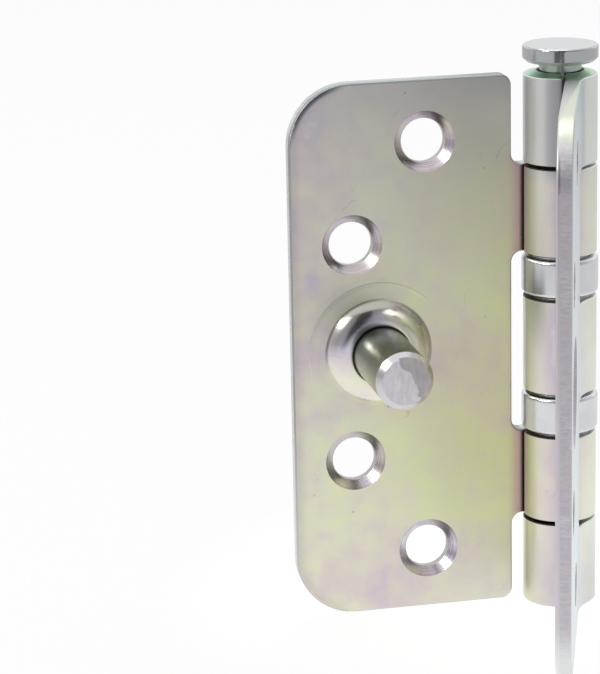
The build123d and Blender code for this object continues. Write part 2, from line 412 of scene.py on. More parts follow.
def handling_marks():
    """Specks and hairline scratches left by handling."""
    tree, given, result = new_group(
        "Handling Marks",
        (("Place", "NodeSocketVector", None), ("Amount", "NodeSocketFloat", 0.5)),
        (("Specks", "NodeSocketFloat"), ("Hairlines", "NodeSocketFloat")),
    )
    place, amount = given["Place"], given["Amount"]
    cells = add_node(tree, "ShaderNodeTexVoronoi", {"Vector": place, "Scale": 1 / (3.2 * MM)}).outputs
    chance = add_node(tree, "ShaderNodeSeparateColor", {"Color": cells["Color"]}).outputs["Red"]
    size = add_share(tree, chance, 0.16, -0.09)
    specks = ramp_between(tree, arithmetic(tree, "SUBTRACT", size, cells["Distance"]), -0.02, 0.03)
    contour = noise(tree, place, 1 / (9 * MM), 2.5)
    line = ramp_between(tree, gap(tree, contour, 0.52), 0.006, 0.0015)
    kept = ramp_between(tree, noise(tree, place, 1 / (6 * MM)), 0.63, 0.70)
    feed(tree, result["Specks"], share_of(tree, specks, amount))
    feed(tree, result["Hairlines"], share_of(tree, line, kept, amount, 0.5))


def plating_grain():
    """Height of the fine grain that rolling, drawing and plating leave."""
    tree, given, result = new_group(
        "Plating Grain",
        (
            ("Place", "NodeSocketVector", None),
            ("Grain Size", "NodeSocketFloat", 0.25 * MM),
            ("Ripple Size", "NodeSocketFloat", 4 * MM),
        ),
        (("Height", "NodeSocketFloat"), ("Grain", "NodeSocketFloat")),
    )
    grain_scale, ripple_scale = (
        arithmetic(tree, "DIVIDE", 1.0, given[size]) for size in ("Grain Size", "Ripple Size")
    )
    grain = noise(tree, given["Place"], grain_scale)
    ripple = noise(tree, given["Place"], ripple_scale, 1.0)
    feed(tree, result["Height"], add_share(tree, grain, 0.15, ripple))
    feed(tree, result["Grain"], grain)


def place_group(tree, name, inputs):
    """The outputs of a shared node group that is placed in a material."""
    return add_node(tree, "ShaderNodeGroup", inputs, node_tree=bpy.data.node_groups[name]).outputs


def film_on(tree, place, thickness, clouds, tint):
    """The passivation film placed in a material."""
    inputs = {"Place": place, "Thickness": thickness, "Clouds": clouds, "Tint": tint}
    return place_group(tree, "Passivation Film", inputs)


def metal(name):
    """A metal material, its tree and its Principled BSDF."""
    material = bpy.data.materials.new(name)
    material.use_nodes = True
    shader = material.node_tree.nodes["Principled BSDF"]
    shader.inputs["Metallic"].default_value = 1.0
    return material, material.node_tree, shader


def paint(tree, shader, colour, roughness):
    """Feeds the shader's colour and roughness."""
    feed(tree, shader.inputs["Base Color"], colour)
    feed(tree, shader.inputs["Roughness"], roughness)


def bump(tree, shader, height, strength, distance):
    """A Bump node that feeds the shader's normal."""
    inputs = {"Height": height, "Strength": strength, "Distance": distance}
    feed(tree, shader.inputs["Normal"], add_node(tree, "ShaderNodeBump", inputs).outputs["Normal"])


class LeafMasks:
    """Masks over one leaf: its sheet, the sides of its barrel and its ends. Near means by the barrel."""

    def __init__(self, tree, axes):
        front, far = (atan2(way.dot(axes[1]), way.dot(axes[0])) for way in (BARREL_FRONT, BARREL_FAR))
        self.place, self.reach, self.depth, self.height = leaf_place(tree)
        self.across = arithmetic(tree, "DIVIDE", self.reach, LEAF_REACH)
        self.upward = arithmetic(tree, "DIVIDE", self.height, LEAF_HEIGHT)
        self.from_axis = vector_math(tree, "LENGTH", vector_of(tree, X=self.reach, Y=self.depth))
        self.on_sheet = ramp_between(tree, self.from_axis, BARREL_RADIUS, 1.35 * BARREL_RADIUS)
        self.on_barrel = without(tree, self.on_sheet)
        turn = arithmetic(tree, "ARCTAN2", self.depth, self.reach)
        self.front = cosine_from(tree, turn, front)
        far_side = ramp_between(tree, cosine_from(tree, turn, far), 0.1, 0.9)
        self.far = share_of(tree, far_side, self.on_barrel)
        self.not_far = without(tree, self.far)
        near = without(tree, self.across)
        self.low_end = ramp_between(tree, self.upward, 0.22, 0.0)
        self.low_near = share_of(tree, self.low_end, near)
        upper_part = ramp_between(tree, self.upward, 0.55, 1.0)
        self.top_near = share_of(tree, upper_part, near, self.on_sheet)
        self.top_band = share_of(tree, ramp_between(tree, self.upward, 0.92, 0.99), self.on_sheet)
        self.first_knuckle = share_of(tree, ramp_between(tree, self.upward, 0.80, 0.84), self.on_barrel)


def leaf_film(tree, on, moved, barrel_share):
    """Film on a leaf. It thickens outwards and upwards on the sheet, and towards the barrel's front."""
    rising = add_share(tree, on.upward, 0.3, 0.28)
    sheet_film = add_share(tree, on.across, rising, 0.02)
    sheet_film = add_share(tree, on.low_near, 0.4, sheet_film)
    front_side = arithmetic(tree, "POWER", arithmetic(tree, "MAXIMUM", on.front, 0.0), 3.5)
    barrel_film = share_of(tree, add_share(tree, front_side, barrel_share, 0.08), on.on_barrel)
    film = add_share(tree, sheet_film, on.on_sheet, barrel_film)
    tint = without(tree, share_of(tree, on.upward, 0.35))
    for mask, amount in ((on.first_knuckle, -0.5), (on.low_near, -0.35), (on.top_near, -0.8)):
        tint = add_share(tree, mask, amount, tint)
    return film_on(tree, moved, film, add_share(tree, on.on_sheet, 0.5, 0.4), tint)


def rim_masks(tree, on):
    """Masks of painted shade along the sheet's outer rim, and of a fine painted dark line along its upper rounded
    corner.
    """
    past_side = beyond(tree, on.reach, LEAF_REACH - CORNER_RADIUS)
    past_end = beyond(tree, gap(tree, on.height, LEAF_HEIGHT / 2), LEAF_HEIGHT / 2 - CORNER_RADIUS)
    outward = vector_math(tree, "LENGTH", vector_of(tree, X=past_side, Y=past_end))
    on_side = ramp_between(tree, past_side, 0.0, 0.4 * CORNER_RADIUS)
    rim = ramp_between(tree, outward, CORNER_RADIUS - 2.2 * MM, CORNER_RADIUS - 0.2 * MM)
    in_corner = ramp_between(tree, share_of(tree, past_side, past_end), 0.0, 0.4 * CORNER_RADIUS ** 2)
    line = ramp_between(tree, outward, CORNER_RADIUS - 1.1 * MM, CORNER_RADIUS - 0.5 * MM)
    upper = ramp_between(tree, on.upward, 0.4, 0.9)
    return share_of(tree, rim, on_side), share_of(tree, line, in_corner, upper)


def leaf_shades(tree, on, finish, colour, side_shade, side_light):
    """Painted shade on a leaf's ends, rim, barrel sides and first knuckle, and painted light on its turned-away
    side.
    """
    rim, corner_line = rim_masks(tree, on)
    left_side = share_of(tree, ramp_between(tree, on.front, 0.75, 0.35), on.on_barrel, on.not_far)
    # Painted shade near the barrel at top and bottom, along the upper band, on the barrel's left side and lower
    # end, in a stripe on the first knuckle's front, along the rim and in the upper corner
    shade = 0.0
    for mask, amount in (
        (on.top_near, 0.16),
        (share_of(tree, on.low_near, on.on_sheet), 0.14),
        (on.top_band, 0.05),
        (left_side, side_shade),
        (share_of(tree, ramp_between(tree, on.front, 0.82, 0.94), on.first_knuckle), 0.28),
        (share_of(tree, on.low_end, on.on_barrel), 0.12),
        (share_of(tree, on.low_end, on.far), 0.1),
        (rim, 0.14),
        (corner_line, 0.6),
    ):
        shade = add_share(tree, mask, amount, shade)
    colour = blend(tree, share_of(tree, on.first_knuckle, on.not_far, 0.6), colour, KNUCKLE_GREY)
    # Painted blue-grey shade along the upper band
    colour = blend(tree, share_of(tree, on.top_band, 0.25), colour, finish.upper_band_shade_blue)
    colour = blend(tree, shade, colour, SHADE_VIOLET)
    # Painted light on the barrel's side that is turned away, stronger upwards
    turned_away = share_of(tree, ramp_between(tree, on.front, 0.97, 0.7), on.on_barrel, on.not_far)
    gleam = share_of(tree, turned_away, ramp_between(tree, on.upward, 0.0, 0.45), side_light)
    return blend(tree, gleam, colour, SIDE_GLEAM)


def rolled_seam(tree, on, finish, colour, brown_band, seam, width):
    """A brownish band on the face beside the roll, and painted shade in the seam of the roll."""
    brown_band_out = ramp_between(tree, on.reach, 1.5 * BARREL_RADIUS, 1.05 * BARREL_RADIUS)
    on_face = ramp_between(tree, on.depth, 1.6 * FACE_DEPTH, 1.15 * FACE_DEPTH)
    off_barrel = ramp_between(tree, on.from_axis, BARREL_RADIUS - 0.02 * MM, BARREL_RADIUS + 0.1 * MM)
    colour = blend(tree, share_of(tree, brown_band_out, on_face, off_barrel, brown_band), colour, finish.seam_brown)
    # Painted shade in the seam of the roll
    beside_seam = gap(tree, on.depth, FACE_DEPTH - 0.55 * width)
    in_seam = ramp_between(tree, beside_seam, width, 0.45 * width)
    by_barrel = ramp_between(tree, on.reach, 1.12 * BARREL_RADIUS, 0.98 * BARREL_RADIUS)
    in_roll = ramp_between(tree, on.reach, 0.4 * BARREL_RADIUS, 0.5 * BARREL_RADIUS)
    return blend(tree, share_of(tree, in_seam, by_barrel, in_roll, seam), colour, finish.groove_shade)


def barrel_end(tree, on, finish, colour, moved):
    """Green film on the upper end of the barrel, and painted shade in the mouth of its bore."""
    on_top = ramp_between(tree, on.height, LEAF_HEIGHT - 0.1 * MM, LEAF_HEIGHT - 0.02 * MM)
    within = ramp_between(tree, on.from_axis, BARREL_RADIUS + 0.2 * MM, BARREL_RADIUS)
    patches = ramp_between(tree, noise(tree, moved, 1 / (4 * MM), 1.0), 0.4, 0.6)
    film = blend(tree, patches, finish.end_green, finish.end_teal)
    colour = blend(tree, share_of(tree, on_top, within), colour, film)
    bore = BARREL_RADIUS - SHEET
    mouth = ramp_between(tree, on.from_axis, bore + 0.45 * MM, bore + 0.3 * MM)
    return blend(tree, share_of(tree, on_top, mouth), colour, finish.groove_shade)


def pressed_boss(tree, on, finish, colour, rough):
    """The boss: smoother than the sheet, lilac above, painted shade on its rim, barrel side, crease and pin foot.
    """
    from_pin = from_boss(tree, on.reach, on.height)
    outwards = arithmetic(tree, "DIVIDE", from_pin, BOSS_RADIUS)
    sideways, upwards = (
        arithmetic(tree, "DIVIDE", arithmetic(tree, "SUBTRACT", value, middle), BOSS_RADIUS)
        for value, middle in ((on.reach, BOSS_REACH), (on.height, BOSS_HEIGHT))
    )
    pressed = ramp_between(tree, outwards, 1.02, 0.98)
    inner = ramp_between(tree, outwards, 0.9, 0.72)
    outer = ramp_between(tree, outwards, 0.72, 0.88)
    above = ramp_between(tree, upwards, -0.2, 0.3)
    away_from_barrel = ramp_between(tree, sideways, -0.5, 0.1)
    colour = blend(tree, share_of(tree, inner, above, away_from_barrel, 0.75), colour, BOSS_LILAC)
    # Painted shade on the boss's upper rim and on its side towards the barrel
    upper_rim = share_of(tree, ramp_between(tree, upwards, 0.0, 1.0), outer, 0.45)
    shadow = add_share(tree, ramp_between(tree, sideways, -0.1, -0.7), 0.2, upper_rim)
    colour = blend(tree, share_of(tree, pressed, shadow), colour, SHADE_BLUE)
    # Painted shadow round the pin's foot
    in_front = ramp_between(tree, on.depth, FACE_DEPTH - 0.5 * MM, FACE_DEPTH - 1.5 * MM)
    pin_foot = share_of(tree, ramp_between(tree, from_pin, 5.1 * MM, 4.85 * MM), in_front)
    colour = blend(tree, pin_foot, colour, finish.groove_shade)
    # Painted dark line in the crease, on its upper side away from the barrel
    diagonal = arithmetic(tree, "ADD", sideways, upwards)
    crease = ramp_between(tree, gap(tree, from_pin, BOSS_RADIUS), 0.3 * MM, 0.05 * MM)
    crease = share_of(tree, crease, ramp_between(tree, diagonal, 0.6, 1.3), 0.75)
    return blend(tree, crease, colour, MARK_AND_CREASE_SHADE), add_share(tree, pressed, -0.19, rough)


def leaf_zinc(
    name, finish, axes, shift, boss, barrel_film, pale, side_shade, side_light, brown_band, seam, seam_width,
):
    """Plated sheet. Shift moves its clouds, and the shares after boss say how strongly each mark shows."""
    material, tree, shader = metal(name)
    on = LeafMasks(tree, axes)
    moved = vector_math(tree, "ADD", on.place, shift)
    plating = leaf_film(tree, on, moved, barrel_film)
    patchy = add_share(tree, plating["Cloud"], -0.9, 0.7, clamp=True)
    colour = blend(tree, share_of(tree, on.far, patchy, pale), plating["Color"], finish.pale_blue)
    behind = ramp_between(tree, on.depth, BACK_DEPTH - 0.5 * MM, BACK_DEPTH - 0.05 * MM)
    colour = blend(tree, share_of(tree, behind, on.on_sheet, 0.85), colour, finish.back_blue)
    colour = leaf_shades(tree, on, finish, colour, side_shade, side_light)
    colour = rolled_seam(tree, on, finish, colour, brown_band, seam, seam_width)
    colour = barrel_end(tree, on, finish, colour, moved)
    marks = place_group(tree, "Handling Marks", {"Place": moved, "Amount": 0.4})
    for kind in ("Specks", "Hairlines"):
        colour = blend(tree, marks[kind], colour, MARK_AND_CREASE_SHADE)
    grain = place_group(tree, "Plating Grain", {"Place": moved})
    rough = add_share(tree, plating["Cloud"], 0.12, finish.leaf_roughness)
    rough = add_share(tree, grain["Grain"], 0.08, rough)
    if boss:
        colour, rough = pressed_boss(tree, on, finish, colour, rough)
    paint(tree, shader, colour, rough)
    bump(tree, shader, grain["Height"], 0.12, 0.03 * MM)
    return material


def punched_edge(name, smooth_colour, torn_colour, top_colour, low_colour, low_end, roughness, tear, worn):
    """Sheared edge: a smooth strip by the sheet's inner face, and a torn one behind it that wears pale."""
    material, tree, shader = metal(name)
    place, reach, depth, height = leaf_place(tree)
    torn = ramp_between(tree, depth, FACE_DEPTH + 0.24 * SHEET, FACE_DEPTH + 0.32 * SHEET)
    tears = noise(tree, stretched_place(tree, place, (1.0, 0.22, 1.0)), 1 / (0.35 * MM), 3.0, 0.6)
    film = film_on(tree, place, 0.72, 0.8, 0.75)["Color"]
    smooth = blend(tree, 0.75, film, smooth_colour)
    ripple = share_of(tree, ramp_between(tree, tears, 0.38, 0.62), 0.6)
    colour = blend(tree, torn, smooth, blend(tree, ripple, torn_colour, film))
    # Painted shade on the pin leaf's upper edge; on the hole leaf the top takes a green-beige tone
    on_top = ramp_between(tree, height, LEAF_HEIGHT - 6 * MM, LEAF_HEIGHT - 2 * MM)
    off_end = ramp_between(tree, reach, LEAF_REACH, LEAF_REACH - 5 * MM)
    colour = blend(tree, share_of(tree, on_top, off_end, 0.85), colour, top_colour)
    low = ramp_between(tree, height, low_end, 0.25 * low_end)
    colour = blend(tree, share_of(tree, low, 0.75), colour, low_colour)
    if worn:
        outer_end = ramp_between(tree, reach, 0.2 * LEAF_REACH, 0.6 * LEAF_REACH)
        less_on_top = add_share(tree, on_top, -0.4 * worn, worn)
        colour = blend(tree, share_of(tree, torn, outer_end, less_on_top), colour, WORN_PALE)
    in_hole = ramp_between(tree, from_boss(tree, reach, height), 1.1 * BOSS_RADIUS, 1.05 * BOSS_RADIUS)
    rough = add_share(tree, in_hole, 0.3, add_share(tree, torn, 0.16, roughness))
    paint(tree, shader, colour, rough)
    bump(tree, shader, share_of(tree, tears, torn), tear, 0.04 * MM)
    return material


def painted_joint_shade(finish):
    """Painted shade on the knuckle ends that face each other, turning pale blue towards the barrel's far side."""
    material, tree, shader = metal("painted_joint_shade")
    grain = place_group(tree, "Plating Grain", {"Place": leaf_place(tree)[0]})["Grain"]
    patchy = ramp_between(tree, grain, 0.3, 0.7)
    colour = blend(tree, patchy, finish.groove_shade, JOINT_SHADE_BROWN)
    # The painted joint shade fades to pale blue towards the barrel's far side
    toward_far_side = ramp_between(tree, parts_of(tree, object_place(tree))["X"], 0.0, 0.6 * BARREL_RADIUS)
    colour = blend(tree, toward_far_side, colour, finish.pale_blue)
    paint(tree, shader, colour, add_share(tree, grain, 0.2, 0.4))
    return material


def countersink_cut():
    """Turned countersink with its cutter's rings."""
    material, tree, shader = metal("countersink_cut")
    from_centre = add_node(tree, "ShaderNodeAttribute", attribute_name="hole_radius").outputs["Fac"]
    rings = tool_rings(tree, from_centre, 0.12 * MM)
    film = film_on(tree, leaf_place(tree)[0], 0.65, 1.2, 0.9)["Color"]
    turned = blend(tree, ramp_between(tree, rings, 0.35, 0.65), TURNED_DARK, TURNED_LIGHT)
    colour = blend(tree, 1.0, turned, film, "MULTIPLY")
    wall = ramp_between(tree, from_centre, HOLE_RADIUS + 0.15 * MM, HOLE_RADIUS + 0.05 * MM)
    paint(tree, shader, blend(tree, wall, colour, HOLE_WALL), add_share(tree, wall, 0.5, 0.22))
    tangent = add_node(tree, "ShaderNodeTangent", direction_type="UV_MAP", uv_map="turning")
    feed(tree, shader.inputs["Tangent"], tangent.outputs["Tangent"])
    shader.inputs["Anisotropic"].default_value = 0.7
    bump(tree, shader, rings, 0.08, 0.02 * MM)
    return material


def bright_zinc(name, colour, share, roughness, thickness, axis, ring_size, pale=None):
    """Bright plating on a turned or pressed piece. Share is that of its own colour over the film's."""
    material, tree, shader = metal(name)
    place = object_place(tree)
    parts = parts_of(tree, place)
    # Painted light along the piece's left side, and weaker along its right
    if pale:
        left = ramp_between(tree, parts["X"], 0.5 * MM - BOSS_REACH, -3.5 * MM - BOSS_REACH)
        right = ramp_between(tree, parts["X"], 2.8 * MM - BOSS_REACH, 4.2 * MM - BOSS_REACH)
        sides = arithmetic(tree, "MAXIMUM", left, share_of(tree, right, 0.6))
        colour = blend(tree, sides, colour, pale)
    film = film_on(tree, place, thickness, 0.8, 0.55)["Color"]
    plated = blend(tree, share, film, colour)
    marks = place_group(tree, "Handling Marks", {"Place": place, "Amount": 0.6})
    plated = blend(tree, marks["Specks"], plated, SPECK_GREY)
    sizes = {"Place": place, "Grain Size": 0.18 * MM, "Ripple Size": 2 * MM}
    grain = place_group(tree, "Plating Grain", sizes)
    paint(tree, shader, plated, add_share(tree, grain["Grain"], 0.12, roughness))
    rings = tool_rings(tree, parts[axis], ring_size)
    bump(tree, shader, add_share(tree, rings, 0.25, grain["Height"]), 0.06, 0.02 * MM)
    return material


def cropped_end():
    """Cropped end of the security pin: a sheared half and a torn one, with an uneven line between them."""
    material, tree, shader = metal("cropped_end")
    lean = radians(31)
    place = object_place(tree)
    leaning = stretched_place(tree, place, (1.0, 1.0, 0.25), (0, lean, 0))
    streaks = noise(tree, leaning, 1 / (0.6 * MM), 4.0, 0.6)
    film = film_on(tree, place, 0.62, 1.6, 0.9)["Color"]
    from_centre = vector_math(tree, "SUBTRACT", place, (-BOSS_REACH, 0, BOSS_HEIGHT))
    across = vector_math(tree, "DOT_PRODUCT", from_centre, (cos(lean), 0, sin(lean)))
    line = add_share(tree, noise(tree, place, 1 / (1.6 * MM)), 3.0 * MM, across)
    past_line = ramp_between(tree, line, 2.4 * MM, 2.65 * MM)
    colour = blend(tree, 0.7, film, blend(tree, past_line, CROPPED_LIGHT, CROPPED_DARK))
    shade = share_of(tree, ramp_between(tree, streaks, 0.65, 0.35), 0.12)
    paint(tree, shader, blend(tree, shade, colour, SHADE_BLACK), 0.37)
    bump(tree, shader, add_share(tree, past_line, -2.0, streaks), 0.35, 0.05 * MM)
    return material


def plain_steel(name, colour, roughness, grain_size):
    """Ground or stamped metal of the pieces inside a bearing."""
    material, tree, shader = metal(name)
    sizes = {"Place": object_place(tree), "Grain Size": grain_size, "Ripple Size": 2 * MM}
    grain = place_group(tree, "Plating Grain", sizes)
    dark = tuple(0.82 * part for part in colour[:3]) + (1,)
    colour = blend(tree, ramp_between(tree, grain["Grain"], 0.3, 0.7), dark, colour)
    paint(tree, shader, colour, add_share(tree, grain["Grain"], 0.1, roughness))
    bump(tree, shader, grain["Height"], 0.1, 0.01 * MM)
    return material


def add_object(name, data):
    """A new object in the scene."""
    made = bpy.data.objects.new(name, data)
    bpy.context.scene.collection.objects.link(made)
    return made


def add_mesh(name, points, faces):
    """A new object with a mesh of the given points and faces."""
    mesh = bpy.data.meshes.new(name)
    mesh.from_pydata(points, [], faces)
    return add_object(name, mesh)


def read_rows(items, name, width, kind=float):
    """Values of a mesh as the rows of an array."""
    values = np.empty(len(items) * width, kind)
    items.foreach_get(name, values)
    return values.reshape(-1, width)


def shade_smooth(mesh):
    """Makes every face of a mesh smooth."""
    mesh.polygons.foreach_set("use_smooth", [True] * len(mesh.polygons))


def store_leaf_place(mesh, on_leaf):
    """Stores the reach, depth and height of each point, for the leaf's materials."""
    attribute = mesh.attributes.new("leaf_place", "FLOAT_VECTOR", "POINT")
    attribute.data.foreach_set("vector", np.asarray(on_leaf).ravel())


def welded_copy(node, name):
    """A piece with a node's form: its triangles joined at their corners, its curved faces still smooth."""
    source = frame["nodes"][node].data
    places = read_rows(source.vertices, "co", 3)
    corners = read_rows(source.loops, "vertex_index", 1, int)
    normals = read_rows(source.corner_normals, "vector", 3).reshape(-1, 3, 3)
    cells = np.round(places / WELD)
    first, number = np.unique(cells, axis=0, return_index=True, return_inverse=True)[1:]
    triangles = number.reshape(-1)[corners].reshape(-1, 3)
    distinct = (triangles != np.roll(triangles, 1, axis=1)).all(axis=1)
    piece = add_mesh(name, places[first].tolist(), triangles[distinct].tolist())
    shade_smooth(piece.data)
    piece.data.normals_split_custom_set(normals[distinct].reshape(-1, 3).tolist())
    return piece


def settle(piece, node):
    """Sets a piece in place of a node, on the node's own body."""
    body = next(name for name, nodes in RECORD["behaviour"]["bodies"].items() if node in nodes)
    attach(piece, body)
    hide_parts(node)


class HINGE_OT_plating(Operator):
    """Build the shared effects of the plating"""

    bl_idname = "hinge.plating"
    bl_label = "Plating"

    def execute(self, context):
        passivation_film(context.scene.hinge_finish)
        handling_marks()
        plating_grain()
        return {"FINISHED"}


class HINGE_OT_leaves(Operator):
    """Build the two rolled leaves with their plated faces, sheared edges and turned countersinks"""

    bl_idname = "hinge.leaves"
    bl_label = "Leaves"

    def leaf(self, node, name, axes, materials):
        """One leaf. Its axes are the directions of its reach and its depth."""
        piece = welded_copy(node, name)
        mesh = piece.data
        places = read_rows(mesh.vertices, "co", 3)
        reach, depth = (places @ np.array(axis) for axis in axes)
        height = places[:, 2]
        store_leaf_place(mesh, np.stack((reach, depth, height), axis=1))
        on_sheet = np.stack((reach, height), axis=1)
        offsets = np.stack([on_sheet - centre for centre in hole_centres()])
        distances = np.linalg.norm(offsets, axis=2)
        nearest = distances.argmin(axis=0)
        radius = distances.min(axis=0)
        mesh.attributes.new("hole_radius", "FLOAT", "POINT").data.foreach_set("value", radius)
        from_pin = np.linalg.norm(on_sheet - (BOSS_REACH, BOSS_HEIGHT), axis=1)
        from_axis = np.hypot(reach, depth)

        for material in materials:
            mesh.materials.append(material)
        turning = mesh.uv_layers.new(name="turning")
        for polygon in mesh.polygons:
            corners = list(polygon.vertices)
            one_hole = len(set(nearest[corners])) == 1
            in_hole = one_hole and max(radius[corners]) < COUNTERSINK_RADIUS + SLACK
            on_barrel = max(from_axis[corners]) < BARREL_RADIUS + SLACK
            off_ends = MM < min(height[corners]) and max(height[corners]) < LEAF_HEIGHT - MM
            past_barrel = min(reach[corners]) > BARREL_RADIUS + SLACK
            on_boss = max(from_pin[corners]) < BOSS_RADIUS + SLACK
            facing = abs(polygon.normal.dot(axes[1]))
            if in_hole:
                polygon.material_index = LEAF_COUNTERSINK
            # Knuckle ends that face each other take the painted joint shade
            elif on_barrel and off_ends and abs(polygon.normal.z) > KNUCKLE_END_FACING:
                polygon.material_index = LEAF_JOINT_SHADE
            elif past_barrel and facing < (BOSS_EDGE_FACING if on_boss else SHEET_EDGE_FACING):
                polygon.material_index = LEAF_EDGE
            for loop, corner in zip(polygon.loop_indices, corners):
                along, up = offsets[nearest[corner], corner]
                turn = np.arctan2(up, along) / (2 * pi)
                turning.data[loop].uv = (turn, radius[corner] / COUNTERSINK_RADIUS)
        settle(piece, node)

    def press_ring(self, material):
        """Low ring that the press tool left round the boss. It runs out into the sheet on its lower side."""
        width, rise, sink, foot = 0.4 * MM, 0.035 * MM, 0.02 * MM, 0.06 * MM
        steps, turns, strongest = 10, 192, radians(60)
        section = []
        for across in np.linspace(-1, 1, steps + 1):
            outward = width * (across + 0.45 * (1 - across * across))
            section.append((outward, rise * (1 + cos(pi * across)) / 2, sink))
        section += [(width, -foot, 0), (-width, -foot, 0)]
        on_leaf = []
        for turn in np.linspace(0, 2 * pi, turns, endpoint=False):
            shown = min(max((cos(turn - strongest) + 0.1) / 0.6, 0), 1)
            for outward, height, dip in section:
                radius = PRESS_RING_RADIUS + outward
                lift = height * (shown if dip else 1) - dip * (1 - shown)
                reach = BOSS_REACH + radius * cos(turn)
                on_leaf.append((reach, FACE_DEPTH - lift, BOSS_HEIGHT + radius * sin(turn)))
        count = len(section)
        faces = []
        for turn in range(turns):
            here, ahead = turn * count, (turn + 1) % turns * count
            for step in range(count):
                following = (step + 1) % count
                faces.append((here + step, ahead + step, ahead + following, here + following))
        points = [(-reach, depth, height) for reach, depth, height in on_leaf]
        ring = add_mesh("pin_leaf_press_ring", points, faces)
        mesh = ring.data
        shade_smooth(mesh)
        mesh.set_sharp_from_angle(angle=radians(30))
        store_leaf_place(mesh, on_leaf)
        mesh.materials.append(material)
        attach(ring, "pin_leaf")

    def execute(self, context):
        finish = context.scene.hinge_finish
        cut = countersink_cut()
        joint_shade = painted_joint_shade(finish)
        pin_zinc = leaf_zinc(
            "pin_leaf_zinc", finish, PIN_LEAF_AXES, shift=(0.0, 0.0, 0.0), boss=True, barrel_film=0.6,
            pale=0.6, side_shade=0.32, side_light=0.1, brown_band=1.0, seam=1.0, seam_width=0.55 * MM,
        )
        hole_zinc = leaf_zinc(
            "hole_leaf_zinc", finish, HOLE_LEAF_AXES, shift=(0.13, 0.07, 0.21), boss=False, barrel_film=0.72,
            pale=1.0, side_shade=0.0, side_light=0.4, brown_band=0.2, seam=0.25, seam_width=0.2 * MM,
        )
        pin_edge = punched_edge(
            "pin_leaf_edge", finish.edge_grey, finish.edge_grey, PIN_EDGE_TOP_SHADE, finish.cut_steel,
            low_end=45 * MM, roughness=0.5, tear=0.1, worn=0.6,
        )
        hole_edge = punched_edge(
            "hole_leaf_edge", finish.cut_steel, HOLE_EDGE_TORN, HOLE_EDGE_TOP, finish.pale_blue,
            low_end=13 * MM, roughness=0.36, tear=0.3, worn=0.0,
        )
        self.leaf("pin_leaf", "pin_leaf_sheet", PIN_LEAF_AXES, (pin_zinc, pin_edge, cut, joint_shade))
        self.leaf("hole_leaf", "hole_leaf_sheet", HOLE_LEAF_AXES, (hole_zinc, hole_edge, cut, joint_shade))
        self.press_ring(pin_zinc)
        return {"FINISHED"}


class HINGE_OT_pins(Operator):
    """Build the loose hinge pin and the security pin with its cropped end"""

    bl_idname = "hinge.pins"
    bl_label = "Pins"

    def hinge_pin(self, finish):
        """The loose pin: a bright head with a duller chamfer, and a greenish shank."""
        pin = welded_copy("hinge_pin", "hinge_pin_turned")
        mesh = pin.data
        for name, colour, share, roughness, thickness in (
            ("hinge_pin_zinc", finish.pin_zinc, 0.75, 0.09, 0.6),
            ("hinge_pin_chamfer", CHAMFER_GREY, 0.9, 0.3, 0.6),
            ("hinge_pin_shank", SHANK_GREEN, 0.85, 0.16, 0.3),
        ):
            mesh.materials.append(bright_zinc(name, colour, share, roughness, thickness, "Z", 0.3 * MM))
        head_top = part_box("hinge_pin")[1].z
        heights = read_rows(mesh.vertices, "co", 3)[:, 2]
        for polygon in mesh.polygons:
            below_top = head_top - heights[list(polygon.vertices)].max()
            if below_top > HEAD_HEIGHT - WELD:
                polygon.material_index = SHANK
            elif below_top > HEAD_HEIGHT - HEAD_CHAMFER - 0.01 * MM:
                polygon.material_index = HEAD_UNDERSIDE
        settle(pin, "hinge_pin")

    def security_pin(self, finish):
        """The pin on the boss: dark, with painted light along its left and right, a bright slope at its tip and a
        cropped end.
        """
        pin = welded_copy("security_pin", "security_pin_turned")
        mesh = pin.data
        mesh.materials.append(bright_zinc(
            "security_pin_olive", finish.pin_olive, 0.9, 0.18, 0.1, "Y", 0.25 * MM, OLIVE_SIDE_LIGHT,
        ))
        mesh.materials.append(bright_zinc(
            "security_pin_chamfer", finish.cut_steel, 0.8, 0.2, 0.6, "Y", 0.2 * MM,
        ))
        mesh.materials.append(cropped_end())
        depths = read_rows(mesh.vertices, "co", 3)[:, 1]
        for polygon in mesh.polygons:
            from_tip = depths[list(polygon.vertices)].max() - PIN_LOW.y
            if polygon.normal.y < -0.9 and from_tip < TIP_FACE:
                polygon.material_index = TIP_END
            elif from_tip < TIP_CHAMFER:
                polygon.material_index = TIP_SLOPE
        settle(pin, "security_pin")

    def execute(self, context):
        finish = context.scene.hinge_finish
        self.hinge_pin(finish)
        self.security_pin(finish)
        return {"FINISHED"}


class HINGE_OT_bearing_rings(Operator):
    """Build the pressed rings that close the two bearings"""

    bl_idname = "hinge.bearing_rings"
    bl_label = "Bearing rings"

    def execute(self, context):
        finish = context.scene.hinge_finish
        shine = bright_zinc("bearing_ring_zinc", finish.bright_zinc, 0.6, 0.18, 0.75, "Z", 0.4 * MM)
        for level in ("upper", "lower"):
            ring = welded_copy(f"{level}_bearing_shell", f"{level}_bearing_ring")
            ring.data.materials.append(shine)
            settle(ring, f"{level}_bearing_shell")
        return {"FINISHED"}


